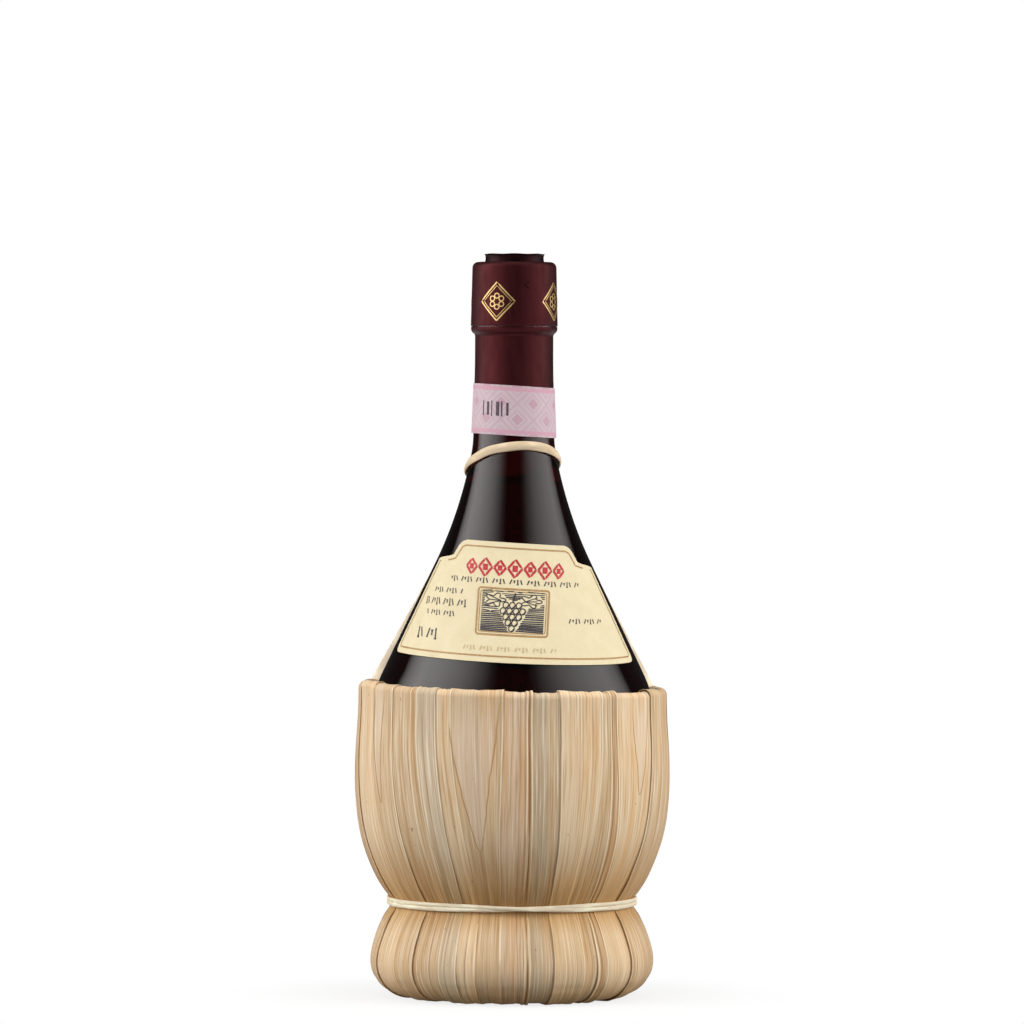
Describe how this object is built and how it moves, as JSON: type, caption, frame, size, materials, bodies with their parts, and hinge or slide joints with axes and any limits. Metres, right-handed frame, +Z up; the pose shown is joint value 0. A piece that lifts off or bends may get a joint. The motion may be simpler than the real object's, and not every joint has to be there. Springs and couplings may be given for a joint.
{
  "type": "straw-covered wine flask",
  "caption": "Round-bottomed glass wine flask in a pinched straw basket with a foot ring, neck loop and stays, corked and capsuled, with paper label and seal band.",
  "frame": {"origin": "on the floor, under the middle of the basket's base", "axes": "+Z up along the flask, the front label faces -Y, +X to the right of the label"},
  "size_m": [0.1084, 0.1084, 0.2561],
  "materials": {
    "glass": "dark brown-red bottle glass",
    "wine": "dark red wine, a liquid",
    "cork": "natural cork",
    "capsule": "matte dark burgundy shrink film",
    "pink_paper": "pink printed seal paper",
    "cream_paper": "cream laid label paper",
    "raffia": "flat twisted raffia",
    "twine": "pale raffia twine",
    "straw": "dried sedge leaf"
  },
  "bodies": {
    "flask": {"flask": "glass", "wine": "wine", "capsule_skirt": "capsule", "seal_band": "pink_paper", "front_label": "cream_paper", "neck_loop": "raffia", "hitch_left": "raffia", "hitch_right": "raffia", "stay_left": "raffia", "stay_right": "raffia", "rim_cord": "raffia", "waist_twine": "twine", "twine_knot": "twine", "foot_ring": "straw", "base_button": "straw", "straw_outer_01": "straw", "straw_outer_02": "straw", "straw_outer_03": "straw", "straw_outer_04": "straw", "straw_outer_05": "straw", "straw_outer_06": "straw", "straw_outer_07": "straw", "straw_outer_08": "straw", "straw_outer_09": "straw", "straw_outer_10": "straw", "straw_outer_11": "straw", "straw_outer_12": "straw", "straw_outer_13": "straw", "straw_outer_14": "straw", "straw_outer_15": "straw", "straw_outer_16": "straw", "straw_outer_17": "straw", "straw_outer_18": "straw", "straw_outer_19": "straw", "straw_outer_20": "straw", "straw_inner_01": "straw", "straw_inner_02": "straw", "straw_inner_03": "straw", "straw_inner_04": "straw", "straw_inner_05": "straw", "straw_inner_06": "straw", "straw_inner_07": "straw", "straw_inner_08": "straw", "straw_inner_09": "straw", "straw_inner_10": "straw", "straw_inner_11": "straw", "straw_inner_12": "straw", "straw_inner_13": "straw", "straw_inner_14": "straw", "straw_inner_15": "straw", "straw_inner_16": "straw", "straw_inner_17": "straw", "straw_inner_18": "straw", "straw_inner_19": "straw", "straw_inner_20": "straw"},
    "cork": {"cork": "cork"},
    "capsule": {"capsule_cap": "capsule", "capsule_top_disc": "capsule"}
  },
  "joints": [
    {"name": "cork_pull", "type": "slide", "parent": "flask", "child": "cork", "axis": [0, 0, 1], "range_m": [0, 0.048]},
    {"name": "capsule_lift", "type": "slide", "parent": "cork", "child": "capsule", "axis": [0, 0, 1], "range_m": [0, 0.06]}
  ]
}
